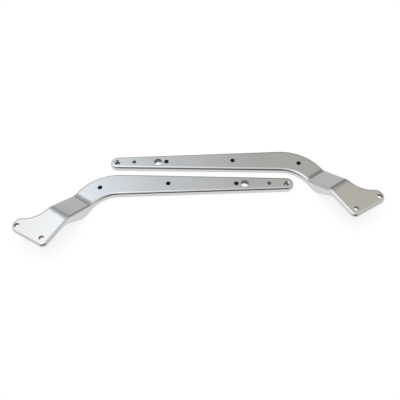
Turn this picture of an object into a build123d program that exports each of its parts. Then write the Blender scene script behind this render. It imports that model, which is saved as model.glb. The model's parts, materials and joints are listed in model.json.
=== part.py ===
"""Matched pair of chromed rear fender struts, lying outer face up on a flat surface.

Each strut is a one-piece bar: a tapered arm with a round tip, a bend, a thick joggle and a
thinner flared plate with two bolt holes.  Three flush thread inserts sit in every arm.
Units are millimetres.  +Z is up, X runs along the arms, and the origin is the centre of the
pair's footprint on the surface.
"""
import os
from math import cos, radians, sin, tan

from build123d import *

os.makedirs("parts", exist_ok=True)

# ---------------------------------------------------------------- arm, seen from above
# Strut-local axes: U runs toward the round tip, V across the arm, Z out of the chromed face.
ARM_THICKNESS = 12.7
TIP_END_U = 207.3                  # end of the round tip
NEAR_EDGE_V = 13.9                 # lower long edge of the arm at U = 0
NEAR_EDGE_SLOPE = 0.0395
FAR_EDGE_V = 58.1                  # upper long edge of the arm at U = 0
FAR_EDGE_SLOPE = -0.0244
TIP_RADIUS = 15.9
INNER_BEND_RADIUS = 69.0
OUTER_BEND_RADIUS = 108.0

# ---------------------------------------------------------------- bend, joggle and plate
BEND_INNER = (-215.0, 5.4)         # where the arm's lower edge turns down to the plate
UPPER_EDGE_ANGLE = 55.7            # upper edge of the joggle, measured down from -U
UPPER_EDGE_POINT = (-279.6, -1.0)
PLATE_CORNER = (-306.6, -145.9)    # square corner of the plate before rounding
PLATE_END_ANGLE = 29.6             # end edge of the plate, measured up from -U
LOBE_EDGE_V = -75.6                # upper edge of the plate's outer lobe
FLARE_RADIUS = 55.0
LOBE_RADIUS = 18.3
PLATE_CORNER_RADIUS = 12.0

# ---------------------------------------------------------------- side profile
PLATE_THICKNESS = 8.0
RISE = 38.1                        # face of the plate above the face of the arm
CREASE_ANGLE = 57.0                # the joggle steps along this direction below -U
FACE_RISE_START = 144.0            # distances along the step direction
FACE_RISE_END = 210.75
BACK_RISE_START = 176.0
BACK_RISE_END = 223.0
FACE_BEND_RADIUS = 28.0
BACK_LOWER_BEND_RADIUS = 45.0
BACK_UPPER_BEND_RADIUS = 30.0

PROFILE_START = -260.0             # the profile runs past both ends of the outline
PROFILE_END = 360.0
PROFILE_REACH = 600.0              # and past both of its sides
PLAN_SPARE = 10.0                  # the outline is pulled up this far past the highest face

EDGE_RADIUS = 6.0                  # rolled edge round the chromed face
BACK_EDGE = 0.8                    # broken edge round the back

# ---------------------------------------------------------------- holes
HOLE_LINE_V = 35.8
INSERT_POSITIONS = {
    "rear": (80.2, HOLE_LINE_V),
    "middle": (-70.2, HOLE_LINE_V),
    "front": (-219.7, 24.7),
}
LARGE_HOLE = (99.0, HOLE_LINE_V)
LARGE_HOLE_RADIUS = 8.75
SMALL_HOLE = (153.1, 36.4)
SMALL_HOLE_RADIUS = 4.25
TIP_HOLE = (191.2, 36.4)
TIP_HOLE_RADIUS = 4.25
TIP_SINK_RADIUS = 7.4
TIP_SINK_ANGLE = 90
PLATE_HOLES = [(-368.3, -95.2), (-313.8, -124.6)]
PLATE_HOLE_RADIUS = 5.25
MOUTH_RADIUS = 0.5                 # polished edge round both ends of the plain holes

# ---------------------------------------------------------------- thread inserts
INSERT_OUTER_RADIUS = 4.75
INSERT_BORE_RADIUS = 2.8
INSERT_RECESS = 0.4                # top of the insert below the chromed face
INSERT_LENGTH = ARM_THICKNESS - INSERT_RECESS
INSERT_MOUTH_CHAMFER = 0.6

# ---------------------------------------------------------------- how the pair is laid out
RIGHT_STRUT_TURN = 1.27            # degrees; the two arms are not quite parallel
RIGHT_STRUT_OFFSET = (4.6, 62.7)


def near_edge(u):
    return NEAR_EDGE_V + NEAR_EDGE_SLOPE * u


def far_edge(u):
    return FAR_EDGE_V + FAR_EDGE_SLOPE * u


def crossing(point_a, slope_a, point_b, slope_b):
    """Where two straight edges, each given by a point and a slope, meet."""
    offset_a = point_a[1] - slope_a * point_a[0]
    offset_b = point_b[1] - slope_b * point_b[0]
    u = (offset_b - offset_a) / (slope_a - slope_b)
    return (u, slope_a * u + offset_a)


def outline_corners():
    """The seven sharp corners of the strut seen from above, with their rounding radii."""
    upper_slope = tan(radians(UPPER_EDGE_ANGLE))
    end_slope = -tan(radians(PLATE_END_ANGLE))
    bend_outer = crossing((0, FAR_EDGE_V), FAR_EDGE_SLOPE, UPPER_EDGE_POINT, upper_slope)
    flare = crossing(UPPER_EDGE_POINT, upper_slope, (0, LOBE_EDGE_V), 0)
    lobe = crossing((0, LOBE_EDGE_V), 0, PLATE_CORNER, end_slope)
    return [
        ((TIP_END_U, near_edge(TIP_END_U)), TIP_RADIUS),
        ((TIP_END_U, far_edge(TIP_END_U)), TIP_RADIUS),
        (bend_outer, OUTER_BEND_RADIUS),
        (flare, FLARE_RADIUS),
        (lobe, LOBE_RADIUS),
        (PLATE_CORNER, PLATE_CORNER_RADIUS),
        (BEND_INNER, INNER_BEND_RADIUS),
    ]


step_dir = Vector(-cos(radians(CREASE_ANGLE)), -sin(radians(CREASE_ANGLE)), 0)
crease_dir = Vector(-sin(radians(CREASE_ANGLE)), cos(radians(CREASE_ANGLE)), 0)
profile_plane = Plane(origin=(0, 0, 0), x_dir=step_dir, z_dir=crease_dir)

corners = outline_corners()
face_top = ARM_THICKNESS + RISE
plate_back = face_top - PLATE_THICKNESS

side_profile = [
    ((PROFILE_START, 0), 0),
    ((PROFILE_START, ARM_THICKNESS), 0),
    ((FACE_RISE_START, ARM_THICKNESS), FACE_BEND_RADIUS),
    ((FACE_RISE_END, face_top), FACE_BEND_RADIUS),
    ((PROFILE_END, face_top), 0),
    ((PROFILE_END, plate_back), 0),
    ((BACK_RISE_END, plate_back), BACK_UPPER_BEND_RADIUS),
    ((BACK_RISE_START, 0), BACK_LOWER_BEND_RADIUS),
]

with BuildPart() as strut_bar:
    # plan outline, pulled up past the highest face
    with BuildSketch(Plane.XY):
        with BuildLine():
            FilletPolyline(
                *[point for point, _ in corners],
                radius=[corner_radius for _, corner_radius in corners],
                close=True,
            )
        make_face()
    extrude(amount=face_top + PLAN_SPARE)

    # side profile of arm, joggle and plate, swept along the crease lines
    with BuildSketch(profile_plane):
        with BuildLine():
            FilletPolyline(
                *[point for point, _ in side_profile],
                radius=[bend_radius for _, bend_radius in side_profile],
                close=True,
            )
        make_face()
    extrude(amount=PROFILE_REACH, both=True, mode=Mode.INTERSECT)

    # rolled edge all round the chromed face, small broken edge round the back
    face_up = [f for f in faces() if f.normal_at().Z > 0.5]
    face_down = [f for f in faces() if f.normal_at().Z < -0.5]
    walls = [f for f in faces() if abs(f.normal_at().Z) < 0.05]
    wall_edges = ShapeList([e for f in walls for e in f.edges()])
    top_rim = [e for f in face_up for e in f.edges() if e in wall_edges]
    back_rim = [e for f in face_down for e in f.edges() if e in wall_edges]
    fillet(top_rim, radius=EDGE_RADIUS)
    chamfer(back_rim, length=BACK_EDGE)

    # seats for the three thread inserts
    with Locations(*[(u, v, ARM_THICKNESS) for u, v in INSERT_POSITIONS.values()]):
        Hole(radius=INSERT_OUTER_RADIUS, depth=ARM_THICKNESS)

    # plain holes of the arm
    with Locations((*LARGE_HOLE, ARM_THICKNESS)):
        Hole(radius=LARGE_HOLE_RADIUS, depth=ARM_THICKNESS)
    with Locations((*SMALL_HOLE, ARM_THICKNESS)):
        Hole(radius=SMALL_HOLE_RADIUS, depth=ARM_THICKNESS)
    with Locations((*TIP_HOLE, ARM_THICKNESS)):
        CounterSinkHole(
            radius=TIP_HOLE_RADIUS,
            counter_sink_radius=TIP_SINK_RADIUS,
            depth=ARM_THICKNESS,
            counter_sink_angle=TIP_SINK_ANGLE,
        )

    # bolt holes of the plate
    with Locations(*[(u, v, face_top) for u, v in PLATE_HOLES]):
        Hole(radius=PLATE_HOLE_RADIUS, depth=PLATE_THICKNESS)

    # every hole without an insert is polished round at both mouths
    hole_radii = (
        LARGE_HOLE_RADIUS,
        SMALL_HOLE_RADIUS,
        TIP_HOLE_RADIUS,
        TIP_SINK_RADIUS,
        PLATE_HOLE_RADIUS,
    )
    mouth_levels = (0, ARM_THICKNESS, plate_back, face_top)
    mouths = [
        e
        for e in edges().filter_by(GeomType.CIRCLE)
        if any(abs(e.radius - hole_radius) < 0.01 for hole_radius in hole_radii)
        and any(abs(e.arc_center.Z - level) < 0.01 for level in mouth_levels)
    ]
    fillet(mouths, radius=MOUTH_RADIUS)

with BuildPart() as insert:
    with BuildSketch(Plane.XY):
        Circle(radius=INSERT_OUTER_RADIUS)
        Circle(radius=INSERT_BORE_RADIUS, mode=Mode.SUBTRACT)
    extrude(amount=INSERT_LENGTH)
    circles = edges().filter_by(GeomType.CIRCLE)
    bore_mouths = circles.filter_by(lambda e: e.radius < INSERT_OUTER_RADIUS - 0.01)
    chamfer(bore_mouths, length=INSERT_MOUTH_CHAMFER)

# the right bar is the mirror image of the left one
mirrored_bar = mirror(strut_bar.part, about=Plane.YZ, mode=Mode.PRIVATE)

# stand both bars behind one another and centre their common footprint on the origin
right_local = Location((*RIGHT_STRUT_OFFSET, 0), (0, 0, RIGHT_STRUT_TURN))
left_box = strut_bar.part.bounding_box()
right_box = (right_local * mirrored_bar).bounding_box()
centre_x = (min(left_box.min.X, right_box.min.X) + max(left_box.max.X, right_box.max.X)) / 2
centre_y = (min(left_box.min.Y, right_box.min.Y) + max(left_box.max.Y, right_box.max.Y)) / 2
left_place = Location((-centre_x, -centre_y, 0))
right_place = left_place * right_local

with BuildPart() as left_strut:
    with Locations(left_place):
        add(strut_bar.part)
left_strut.part.label = "left_strut"
export_step(left_strut.part, "parts/left_strut.step")

with BuildPart() as right_strut:
    with Locations(right_place):
        add(mirrored_bar)
right_strut.part.label = "right_strut"
export_step(right_strut.part, "parts/right_strut.step")

# three thread inserts in each arm, flush with the back
for side, place, direction in (("left", left_place, 1), ("right", right_place, -1)):
    for position, (u, v) in INSERT_POSITIONS.items():
        with BuildPart() as placed_insert:
            with Locations(place * Location((direction * u, v, 0))):
                add(insert.part)
        name = f"{side}_{position}_insert"
        placed_insert.part.label = name
        export_step(placed_insert.part, f"parts/{name}.step")
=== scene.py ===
"""Matched pair of chromed rear fender struts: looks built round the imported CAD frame.

The struts lie outer face up on a pale studio floor, seen from the front and above.
Units are metres in the CAD row frame: X runs along the arms, Y from the left strut to the
right one, Z is up.  Places on the struts are worked out from the frame and its record.
"""
import json
from math import atan2, cos, pi, radians, sin

import bmesh
import bpy
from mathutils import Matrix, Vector


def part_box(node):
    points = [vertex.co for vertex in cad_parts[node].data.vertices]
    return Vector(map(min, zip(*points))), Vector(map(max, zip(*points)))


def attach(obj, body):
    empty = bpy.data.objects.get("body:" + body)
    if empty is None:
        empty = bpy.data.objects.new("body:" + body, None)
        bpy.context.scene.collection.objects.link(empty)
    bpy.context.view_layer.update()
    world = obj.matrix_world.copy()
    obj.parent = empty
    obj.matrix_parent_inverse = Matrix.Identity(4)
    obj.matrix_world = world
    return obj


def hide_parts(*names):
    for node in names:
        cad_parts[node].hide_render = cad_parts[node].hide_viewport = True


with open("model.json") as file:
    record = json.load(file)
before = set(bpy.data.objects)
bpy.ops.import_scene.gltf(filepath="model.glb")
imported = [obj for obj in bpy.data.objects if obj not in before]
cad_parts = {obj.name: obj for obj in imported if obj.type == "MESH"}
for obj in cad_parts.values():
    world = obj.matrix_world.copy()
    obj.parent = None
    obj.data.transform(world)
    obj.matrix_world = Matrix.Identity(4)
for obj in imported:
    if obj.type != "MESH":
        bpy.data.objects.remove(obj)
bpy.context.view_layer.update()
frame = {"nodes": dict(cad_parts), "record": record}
MM = 0.001

# ---------------------------------------------------------------- camera
CAMERA_ELEVATION = radians(56)
CAMERA_DISTANCE = 1.148
CAMERA_AIM = Vector((-0.0033, 0.0063, 0.0))
CAMERA_LENS_MM = 47.18
SENSOR_MM = 36.0

# ---------------------------------------------------------------- studio
FLOOR_HALF = 6.0
FLOOR_DROP = 0.0002
FLOOR_ALBEDO = 0.16
FLOOR_GLOW = 0.82
FLAG_X = (0.15, 0.50)
FLAG_Y = 0.62
FLAG_Z = (0.145, 0.40)
FLAG_GLOW = 0.33
FILL_POWER = 40.0
FILL_SIZE = 3.0
FILL_HEIGHT = 2.5
BACKDROP = (0.95, 0.95, 0.95, 1.0)

# The room that the chrome reflects, over the direction looked in: dark in front of the table,
# bright overhead and grey behind (Y part of the direction: -1 is the front, brightness).
ROOM_DEPTH = [
    (-1.0, 0.2), (-0.9, 0.06), (-0.8, 0.1), (-0.6, 0.6), (-0.3, 1.2), (0.1, 1.35), (0.5, 1.0),
    (0.75, 0.65), (1.0, 0.5),
]
# A window up on the left, and less light to the right (X part: -1 is the left, factor).
ROOM_WIDTH = [(-1.0, 0.8), (-0.5, 1.0), (-0.25, 1.5), (-0.1, 1.05), (0.1, 0.75), (1.0, 0.6)]
# The window's light is cool and the right side is warm (X part, tint).
WHITE = (1.0, 1.0, 1.0)
COOL = (0.93, 1.0, 1.05)
WARM = (1.05, 1.0, 0.88)
ROOM_TINT = [(-0.3, WHITE), (-0.2, COOL), (0.05, WHITE), (0.3, WARM)]
ROOM_PEAK = 2.0
# where each of these comes in, as parts of the direction
TINT_STARTS = (0.2, 0.5)
BAND_COLOUR = (0.71, 0.715, 0.72)
BAND_TOP = (0.185, 0.14)
BAND_STARTS = (0.0, 0.5)

# ---------------------------------------------------------------- strut
# The bend centre, measured in from the plate end and down from the far long edge.
BEND_CENTRE_IN = 200 * MM
BEND_CENTRE_DOWN = 108 * MM
BEND_TURN = radians(57)
BEND_RADIUS = 84 * MM
TIP_LINE = 0.0                     # direction of the line through the two tip holes
PLATE_LINE = atan2(-29.4, 54.5)    # and through the two plate holes of the left strut
RIGHT_TURN = radians(1.27)
# distances past a hole's radius
WALL_FADE = (0.15 * MM, 0.45 * MM)
SCUFF_FADE = (1.2 * MM, 3.2 * MM)
# painted shade: a dark ring this wide round each insert seat, in the hole walls' dark colour
SEAT_SHADE = 0.5 * MM
POSITIONS = ("rear", "middle", "front")

# ---------------------------------------------------------------- chrome
CHROME_DARK = (0.6107, 0.6156, 0.6206)
CHROME_BRIGHT = (0.6293, 0.6344, 0.6395)
STAIN_COLOUR = (0.46, 0.45, 0.43)
BACK_COLOURS = ((0.50, 0.50, 0.50), (0.38, 0.38, 0.385))
# painted shade in the holes: the hole walls get these dark colours, with a rough finish
BORE_COLOURS = ((0.12, 0.118, 0.115), (0.20, 0.195, 0.19))
# noise: scale per metre, detail, roughness
STREAK_NOISE = (330.0, 3.0, 0.6)
LINE_NOISE = (1900.0, 2.0, 0.6)
CLOUD_NOISE = (34.0, 3.0, 0.55)
WAVE_NOISE = (16.0, 1.0, 0.4)
MOTTLE_NOISE = (420.0, 4.0, 0.6)
TURNING_NOISE = (2600.0, 1.0)
STREAK_STRETCH = 0.035             # how much of the length counts, so that the marks run along it
STREAK_HEIGHT = 0.6
LINE_STRETCH = 0.02
# parts of a noise that the looks are spread over
MIDDLE = (0.3, 0.7)
CLOUD_RANGE = (0.35, 0.75)
SCUFF_RANGE = (0.35, 0.65)
STAIN_RANGE = (0.35, 0.8)
BACK_RANGE = (0.3, 0.75)
BACK_FACING = (-0.55, -0.85)
POLISH = (0.03, 0.055)
HAZE = 0.03
SCUFF_ROUGH = 0.09
BACK_ROUGH = (0.20, 0.32)
BORE_ROUGH = 0.42
STAIN = 0.10
WAVE_DEPTH = 0.2 * MM
STREAK_DEPTH = 0.002 * MM
LINE_DEPTH = 0.0004 * MM
TURNING_DEPTH = 0.02 * MM
PIT_DEPTH = 0.02 * MM

# ---------------------------------------------------------------- black oxide
OXIDE = (0.014, 0.014, 0.015)
OXIDE_RUBBED = (0.075, 0.07, 0.065)
OXIDE_NOISE = (1400.0, 4.0, 0.6)
OXIDE_WEAR = (0.45, 0.75)
OXIDE_ROUGH = (0.50, 0.34)
OXIDE_METAL = 0.85
OXIDE_DEPTH = 0.01 * MM

# ---------------------------------------------------------------- thread inserts
THREAD_PITCH = 1.0 * MM
THREAD_CREST = 2.5 * MM
THREAD_ROOT = 3.05 * MM
INSERT_OUTER = 4.72 * MM
INSERT_CHAMFER = 0.7 * MM
INSERT_RIM = 0.15 * MM
INSERT_SIDES = 48
ROWS_PER_TURN = 8
THREAD_FLANK = 1.5                 # the flank's steepness, with flats on crest and root
THREAD_FLAT = 0.25
WELD = 0.01 * MM


# ================================================================ node helpers
def math_node(tree, operation, *values, clamp=False):
    """A Math node fed by sockets or plain numbers; returns its output socket."""
    node = tree.nodes.new("ShaderNodeMath")
    node.operation = operation
    node.use_clamp = clamp
    for socket, value in zip(node.inputs, values):
        if isinstance(value, (int, float)):
            socket.default_value = value
        else:
            tree.links.new(value, socket)
    return node.outputs[0]


def map_range(tree, value, low, high, to_low=0.0, to_high=1.0, kind="SMOOTHSTEP"):
    """value carried from low..high to to_low..to_high, and held at both ends."""
    node = tree.nodes.new("ShaderNodeMapRange")
    node.interpolation_type = kind
    tree.links.new(value, node.inputs["Value"])
    node.inputs["From Min"].default_value = low
    node.inputs["From Max"].default_value = high
    node.inputs["To Min"].default_value = to_low
    node.inputs["To Max"].default_value = to_high
    return node.outputs["Result"]


def ramp(tree, value, stops, peak):
    """Colours over value from a list of (value, colour or grey) stops, none brighter than peak."""
    low, high = stops[0][0], stops[-1][0]
    node = tree.nodes.new("ShaderNodeValToRGB")
    tree.links.new(map_range(tree, value, low, high, kind="LINEAR"), node.inputs["Fac"])
    elements = node.color_ramp.elements
    while len(elements) < len(stops):
        elements.new(0.5)
    for element, (place, colour) in zip(elements, stops):
        if isinstance(colour, (int, float)):
            colour = (colour, colour, colour)
        element.position = (place - low) / (high - low)
        element.color = (*(part / peak for part in colour), 1.0)
    scale = tree.nodes.new("ShaderNodeVectorMath")
    scale.operation = "SCALE"
    scale.inputs["Scale"].default_value = peak
    tree.links.new(node.outputs["Color"], scale.inputs[0])
    return scale.outputs[0]


def mix_colour(tree, factor, first, second, blend="MIX"):
    """first where factor is 0 and second where it is 1, or another blend of the two."""
    node = tree.nodes.new("ShaderNodeMix")
    node.data_type = "RGBA"
    node.blend_type = blend
    sockets = (node.inputs["Factor"], node.inputs[6], node.inputs[7])
    for socket, value in zip(sockets, (factor, first, second)):
        if isinstance(value, (int, float)):
            socket.default_value = value
        elif isinstance(value, tuple):
            socket.default_value = (*value[:3], 1.0)
        else:
            tree.links.new(value, socket)
    return node.outputs[2]


def mix_value(tree, factor, first, second):
    """first where factor is 0 and second where it is 1."""
    rise = math_node(tree, "SUBTRACT", second, first)
    return math_node(tree, "MULTIPLY_ADD", rise, factor, first)


def separate(tree, vector):
    """The x, y and z outputs of a vector."""
    node = tree.nodes.new("ShaderNodeSeparateXYZ")
    tree.links.new(vector, node.inputs[0])
    return tuple(node.outputs)


def combine(tree, x, y, z):
    """A vector from sockets or plain numbers."""
    node = tree.nodes.new("ShaderNodeCombineXYZ")
    for socket, value in zip(node.inputs, (x, y, z)):
        if isinstance(value, (int, float)):
            socket.default_value = value
        else:
            tree.links.new(value, socket)
    return node.outputs[0]


def noise(tree, vector, scale, detail=2.0, roughness=0.5):
    """Noise about 0.5 over a vector."""
    node = tree.nodes.new("ShaderNodeTexNoise")
    node.inputs["Scale"].default_value = scale
    node.inputs["Detail"].default_value = detail
    node.inputs["Roughness"].default_value = roughness
    tree.links.new(vector, node.inputs["Vector"])
    return node.outputs["Fac"]


def bump(tree, height, distance, strength=1.0, before=None):
    """A Bump node over height, which is worth distance metres from 0 to 1."""
    node = tree.nodes.new("ShaderNodeBump")
    node.inputs["Distance"].default_value = distance
    node.inputs["Strength"].default_value = strength
    tree.links.new(height, node.inputs["Height"])
    if before is not None:
        tree.links.new(before, node.inputs["Normal"])
    return node.outputs[0]


def new_material(name):
    """A new material with its node tree and shader."""
    material = bpy.data.materials.new(name)
    material.use_nodes = True
    return material, material.node_tree, material.node_tree.nodes["Principled BSDF"]


# ================================================================ chrome
def lengthwise(tree, position, side):
    """(along, across) coordinates that follow the bar round its bend, in metres."""
    low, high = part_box(f"{side}_strut")
    turn = 1 if side == "left" else -1
    plate_end = low.x if side == "left" else high.x
    centre = (plate_end + turn * BEND_CENTRE_IN, high.y - BEND_CENTRE_DOWN)
    x, y, _ = separate(tree, position)
    out_x = math_node(tree, "MULTIPLY", math_node(tree, "SUBTRACT", x, centre[0]), -turn)
    out_y = math_node(tree, "SUBTRACT", y, centre[1])
    # angle round the bend: 0 along the arm, held at the full turn beyond the bend
    angle = math_node(tree, "ARCTAN2", out_x, out_y)
    angle = math_node(tree, "MINIMUM", math_node(tree, "MAXIMUM", angle, 0.0), BEND_TURN)
    sine = math_node(tree, "SINE", angle)
    cosine = math_node(tree, "COSINE", angle)
    across = math_node(
        tree, "ADD", math_node(tree, "MULTIPLY", out_x, sine), math_node(tree, "MULTIPLY", out_y, cosine)
    )
    along = math_node(
        tree, "SUBTRACT", math_node(tree, "MULTIPLY", out_x, cosine), math_node(tree, "MULTIPLY", out_y, sine)
    )
    along = math_node(tree, "MULTIPLY_ADD", angle, BEND_RADIUS, along)
    return along, across


def holes(side):
    """(x, y, radius) of every hole of one strut, from the record's mounts and the inserts."""
    found = []
    for mount in frame["record"]["mounts"]:
        x, y, _ = mount["pos_m"]
        if mount["name"] == f"{side}_large_hole":
            found.append((x, y, mount["dims"]["r_mm"] * MM))
        for pattern, line in (("tip_holes", TIP_LINE), ("plate_bolts", PLATE_LINE)):
            if mount["name"] == f"{side}_{pattern}":
                angle = line if side == "left" else RIGHT_TURN - line
                half = mount["dims"]["pcd_mm"] * MM / 2
                radius = mount["dims"]["hole_r_mm"] * MM
                found += [(x + end * cos(angle), y + end * sin(angle), radius) for end in (-half, half)]
    for position in POSITIONS:
        low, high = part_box(f"{side}_{position}_insert")
        # each insert's radius is widened by the seat ring of painted shade
        found.append(((low.x + high.x) / 2, (low.y + high.y) / 2, (high.x - low.x) / 2 + SEAT_SHADE))
    return found


def hole_masks(tree, position, side):
    """Two masks: the walls of the holes, which carry painted shade, and the scuffed rings that washers leave
    round them.
    """
    x, y, _ = separate(tree, position)
    walls, scuffs = None, None
    for hole_x, hole_y, radius in holes(side):
        away_x = math_node(tree, "SUBTRACT", x, hole_x)
        away_y = math_node(tree, "SUBTRACT", y, hole_y)
        squared = math_node(tree, "MULTIPLY_ADD", away_x, away_x, math_node(tree, "MULTIPLY", away_y, away_y))
        distance = math_node(tree, "SQRT", squared)
        wall = map_range(tree, distance, radius + WALL_FADE[1], radius + WALL_FADE[0])
        scuff = map_range(tree, distance, radius + SCUFF_FADE[1], radius + SCUFF_FADE[0])
        walls = wall if walls is None else math_node(tree, "MAXIMUM", walls, wall)
        scuffs = scuff if scuffs is None else math_node(tree, "MAXIMUM", scuffs, scuff)
    return walls, scuffs


def chrome_material(side):
    """Polished chrome with faint lengthwise brushing, a dull back and turned bores darkened with painted
    shade.
    """
    material, tree, shader = new_material(f"{side}_chrome")
    coordinates = tree.nodes.new("ShaderNodeTexCoord")
    position = coordinates.outputs["Object"]
    facing = separate(tree, coordinates.outputs["Normal"])[2]
    height = separate(tree, position)[2]
    along, across = lengthwise(tree, position, side)
    back = map_range(tree, facing, *BACK_FACING)
    bore, scuff = hole_masks(tree, position, side)

    # long soft streaks left by the buffing wheel, and finer lines between them
    stretched = math_node(tree, "MULTIPLY", along, STREAK_STRETCH)
    squashed = math_node(tree, "MULTIPLY", height, STREAK_HEIGHT)
    streaks = noise(tree, combine(tree, stretched, across, squashed), *STREAK_NOISE)
    drawn = math_node(tree, "MULTIPLY", along, LINE_STRETCH)
    lines = noise(tree, combine(tree, drawn, across, height), *LINE_NOISE)
    # cloudy wipe marks and the slow waves of a hand-polished face
    clouds = noise(tree, position, *CLOUD_NOISE)
    waves = noise(tree, position, *WAVE_NOISE)
    mottle = noise(tree, position, *MOTTLE_NOISE)

    rough = map_range(tree, streaks, *MIDDLE, *POLISH, kind="LINEAR")
    rough = math_node(tree, "ADD", rough, map_range(tree, clouds, *CLOUD_RANGE, 0.0, HAZE))
    worn = math_node(tree, "MULTIPLY", scuff, map_range(tree, mottle, *SCUFF_RANGE, 0.0, SCUFF_ROUGH))
    rough = math_node(tree, "ADD", rough, worn)
    dull = map_range(tree, mottle, *MIDDLE, *BACK_ROUGH, kind="LINEAR")
    rough = mix_value(tree, back, rough, dull)
    rough = mix_value(tree, bore, rough, BORE_ROUGH)
    tree.links.new(rough, shader.inputs["Roughness"])

    face = mix_colour(tree, map_range(tree, streaks, *MIDDLE, kind="LINEAR"), CHROME_DARK, CHROME_BRIGHT)
    face = mix_colour(tree, map_range(tree, mottle, *STAIN_RANGE, 0.0, STAIN), face, STAIN_COLOUR)
    under = mix_colour(tree, map_range(tree, mottle, *BACK_RANGE), *BACK_COLOURS)
    colour = mix_colour(tree, back, face, under)
    # painted shade in the holes: the hole walls take a dark, mottled colour
    bore_shade = mix_colour(tree, map_range(tree, mottle, *MIDDLE), *BORE_COLOURS)
    colour = mix_colour(tree, bore, colour, bore_shade)
    tree.links.new(colour, shader.inputs["Base Color"])
    shader.inputs["Metallic"].default_value = 1.0

    normal = bump(tree, waves, WAVE_DEPTH)
    normal = bump(tree, streaks, STREAK_DEPTH, before=normal)
    normal = bump(tree, lines, LINE_DEPTH, before=normal)
    turning = noise(tree, combine(tree, 0.0, 0.0, height), *TURNING_NOISE)
    rings = math_node(tree, "MULTIPLY", turning, bore)
    normal = bump(tree, rings, TURNING_DEPTH, before=normal)
    pits = math_node(tree, "MULTIPLY", mottle, back)
    normal = bump(tree, pits, PIT_DEPTH, before=normal)
    tree.links.new(normal, shader.inputs["Normal"])
    return material


# ================================================================ thread inserts
def oxide_material():
    """Black oxide steel, a little browner and shinier where it has been rubbed."""
    material, tree, shader = new_material("black_oxide")
    position = tree.nodes.new("ShaderNodeTexCoord").outputs["Object"]
    grain = noise(tree, position, *OXIDE_NOISE)
    worn = map_range(tree, grain, *OXIDE_WEAR)
    tree.links.new(mix_colour(tree, worn, OXIDE, OXIDE_RUBBED), shader.inputs["Base Color"])
    tree.links.new(map_range(tree, grain, *MIDDLE, *OXIDE_ROUGH), shader.inputs["Roughness"])
    tree.links.new(bump(tree, grain, OXIDE_DEPTH), shader.inputs["Normal"])
    shader.inputs["Metallic"].default_value = OXIDE_METAL
    return material


def ring(mesh, radius_at, height_at):
    """One closed row of vertices; radius and height are functions of the turn, 0 to 1."""
    row = []
    for step in range(INSERT_SIDES):
        turn = step / INSERT_SIDES
        angle = 2 * pi * turn
        radius = radius_at(turn)
        row.append(mesh.verts.new((radius * cos(angle), radius * sin(angle), height_at(turn))))
    return row


def bridge(mesh, lower, upper):
    """Faces between two rows."""
    for step in range(INSERT_SIDES):
        following = (step + 1) % INSERT_SIDES
        mesh.faces.new((lower[step], lower[following], upper[following], upper[step]))


def threaded_insert(name, material):
    """A black steel bush with a real internal thread, in place of a plain CAD tube."""
    low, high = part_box(name)
    length = high.z - low.z
    mesh = bmesh.new()

    def level(radius, height):
        return ring(mesh, lambda turn: radius, lambda turn: height)

    # outside wall and the two end rims, from the bottom bore mouth round to the top one
    rows = [
        level(THREAD_ROOT + INSERT_CHAMFER, 0.0),
        level(INSERT_OUTER - INSERT_RIM, 0.0),
        level(INSERT_OUTER, INSERT_RIM),
        level(INSERT_OUTER, length - INSERT_RIM),
        level(INSERT_OUTER - INSERT_RIM, length),
        level(THREAD_ROOT + INSERT_CHAMFER, length),
    ]
    # thread: rows climb one pitch per turn, and alternate between crest and root
    first, last = INSERT_CHAMFER, length - INSERT_CHAMFER
    turns = int(length / THREAD_PITCH) + 2
    for step in range(turns * ROWS_PER_TURN, -ROWS_PER_TURN - 1, -1):
        phase = (step % ROWS_PER_TURN) / ROWS_PER_TURN
        flank = THREAD_FLANK * (1 - abs(2 * phase - 1)) - THREAD_FLAT
        depth = min(1.0, max(0.0, flank))
        radius = THREAD_CREST + (THREAD_ROOT - THREAD_CREST) * depth
        base = step / ROWS_PER_TURN * THREAD_PITCH

        def height_at(turn, base=base):
            return min(last, max(first, base + turn * THREAD_PITCH))

        def radius_at(turn, base=base, radius=radius):
            height = base + turn * THREAD_PITCH
            return radius if first < height < last else THREAD_ROOT

        rows.append(ring(mesh, radius_at, height_at))
    for upper, lower in zip(rows, rows[1:]):
        bridge(mesh, upper, lower)
    bridge(mesh, rows[-1], rows[0])
    bmesh.ops.remove_doubles(mesh, verts=mesh.verts, dist=WELD)
    bmesh.ops.recalc_face_normals(mesh, faces=mesh.faces)

    data = bpy.data.meshes.new(f"{name}_threaded")
    mesh.to_mesh(data)
    mesh.free()
    piece = bpy.data.objects.new(f"{name}_threaded", data)
    bpy.context.scene.collection.objects.link(piece)
    piece.location = ((low.x + high.x) / 2, (low.y + high.y) / 2, low.z)
    data.materials.append(material)
    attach(piece, f"{name.split('_')[0]}_bar")
    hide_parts(name)
    return piece


# ================================================================ studio
def make_floor():
    """A pale floor that glows a little, so that the shadows stay faint."""
    material, _, shader = new_material("studio_floor")
    shader.inputs["Base Color"].default_value = (FLOOR_ALBEDO, FLOOR_ALBEDO, FLOOR_ALBEDO, 1.0)
    shader.inputs["Emission Color"].default_value = (1.0, 1.0, 1.0, 1.0)
    shader.inputs["Emission Strength"].default_value = FLOOR_GLOW
    shader.inputs["Specular IOR Level"].default_value = 0.0
    mesh = bpy.data.meshes.new("studio_floor")
    half = FLOOR_HALF
    corners = [(-half, -half, 0), (half, -half, 0), (half, half, 0), (-half, half, 0)]
    mesh.from_pydata(corners, [], [(0, 1, 2, 3)])
    mesh.materials.append(material)
    floor = bpy.data.objects.new("studio_floor", mesh)
    bpy.context.scene.collection.objects.link(floor)
    floor.location.z = -FLOOR_DROP


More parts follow.
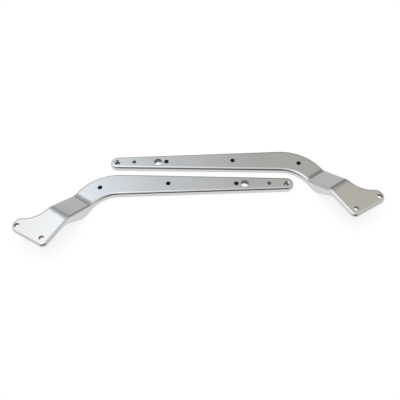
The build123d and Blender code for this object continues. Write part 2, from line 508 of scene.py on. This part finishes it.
def make_flag():
    """A dark card behind the right strut, out of the camera's sight, for its crease lines."""
    material, _, shader = new_material("studio_flag")
    shader.inputs["Base Color"].default_value = (0.0, 0.0, 0.0, 1.0)
    shader.inputs["Specular IOR Level"].default_value = 0.0
    shader.inputs["Emission Color"].default_value = (1.0, 1.0, 1.0, 1.0)
    shader.inputs["Emission Strength"].default_value = FLAG_GLOW
    (left, right), y, (low, high) = FLAG_X, FLAG_Y, FLAG_Z
    mesh = bpy.data.meshes.new("studio_flag")
    corners = [(left, y, low), (right, y, low), (right, y, high), (left, y, high)]
    mesh.from_pydata(corners, [], [(0, 1, 2, 3)])
    mesh.materials.append(material)
    flag = bpy.data.objects.new("studio_flag", mesh)
    bpy.context.scene.collection.objects.link(flag)
    flag.visible_camera = False
    flag.visible_diffuse = False
    flag.visible_shadow = False


def make_world():
    """Soft tent round the table, brighter and cooler on the left, with a dark room in front."""
    world = bpy.data.worlds.new("studio")
    bpy.context.scene.world = world
    world.use_nodes = True
    tree = world.node_tree
    tree.nodes.clear()
    direction = tree.nodes.new("ShaderNodeTexCoord").outputs["Generated"]
    x, y, z = separate(tree, direction)

    # front to back over the top, then brighter or dimmer from left to right
    depth = ramp(tree, y, ROOM_DEPTH, ROOM_PEAK)
    width = ramp(tree, x, ROOM_WIDTH, ROOM_PEAK)
    sky = mix_colour(tree, 1.0, depth, width, blend="MULTIPLY")
    # the ceiling and the wall behind are tinted, and the dark room in front is not
    tinted = mix_colour(tree, 1.0, sky, ramp(tree, x, ROOM_TINT, ROOM_PEAK), blend="MULTIPLY")
    sky = mix_colour(tree, map_range(tree, y, *TINT_STARTS), sky, tinted)
    # pale band low behind the table
    low = map_range(tree, z, *BAND_TOP)
    band = math_node(tree, "MULTIPLY", low, map_range(tree, y, *BAND_STARTS))
    lit = mix_colour(tree, band, sky, BAND_COLOUR)

    reflected = tree.nodes.new("ShaderNodeBackground")
    tree.links.new(lit, reflected.inputs["Color"])
    seen = tree.nodes.new("ShaderNodeBackground")
    seen.inputs["Color"].default_value = BACKDROP
    path = tree.nodes.new("ShaderNodeLightPath")
    mix = tree.nodes.new("ShaderNodeMixShader")
    tree.links.new(path.outputs["Is Camera Ray"], mix.inputs[0])
    tree.links.new(reflected.outputs[0], mix.inputs[1])
    tree.links.new(seen.outputs[0], mix.inputs[2])
    output = tree.nodes.new("ShaderNodeOutputWorld")
    tree.links.new(mix.outputs[0], output.inputs["Surface"])


def make_fill():
    """A wide soft light above that lifts the floor to white and shows in no reflection."""
    data = bpy.data.lights.new("floor_fill", "AREA")
    data.shape = "DISK"
    data.size = FILL_SIZE
    data.energy = FILL_POWER
    lamp = bpy.data.objects.new("floor_fill", data)
    lamp.location.z = FILL_HEIGHT
    lamp.visible_glossy = False
    lamp.visible_camera = False
    bpy.context.scene.collection.objects.link(lamp)


def make_camera():
    """A camera in front of the pair and above it, aimed at the middle."""
    data = bpy.data.cameras.new("camera")
    data.lens = CAMERA_LENS_MM
    data.sensor_width = SENSOR_MM
    camera = bpy.data.objects.new("camera", data)
    back = Vector((0, -cos(CAMERA_ELEVATION), sin(CAMERA_ELEVATION)))
    camera.location = CAMERA_AIM + back * CAMERA_DISTANCE
    camera.rotation_euler = (pi / 2 - CAMERA_ELEVATION, 0, 0)
    bpy.context.scene.collection.objects.link(camera)
    bpy.context.scene.camera = camera


# ================================================================ build
bpy.context.scene.view_settings.view_transform = "Standard"
make_camera()
make_world()
make_floor()
make_flag()
make_fill()

oxide = oxide_material()
for side in ("left", "right"):
    strut = frame["nodes"][f"{side}_strut"]
    strut.data.materials.clear()
    strut.data.materials.append(chrome_material(side))
    for position in POSITIONS:
        threaded_insert(f"{side}_{position}_insert", oxide)
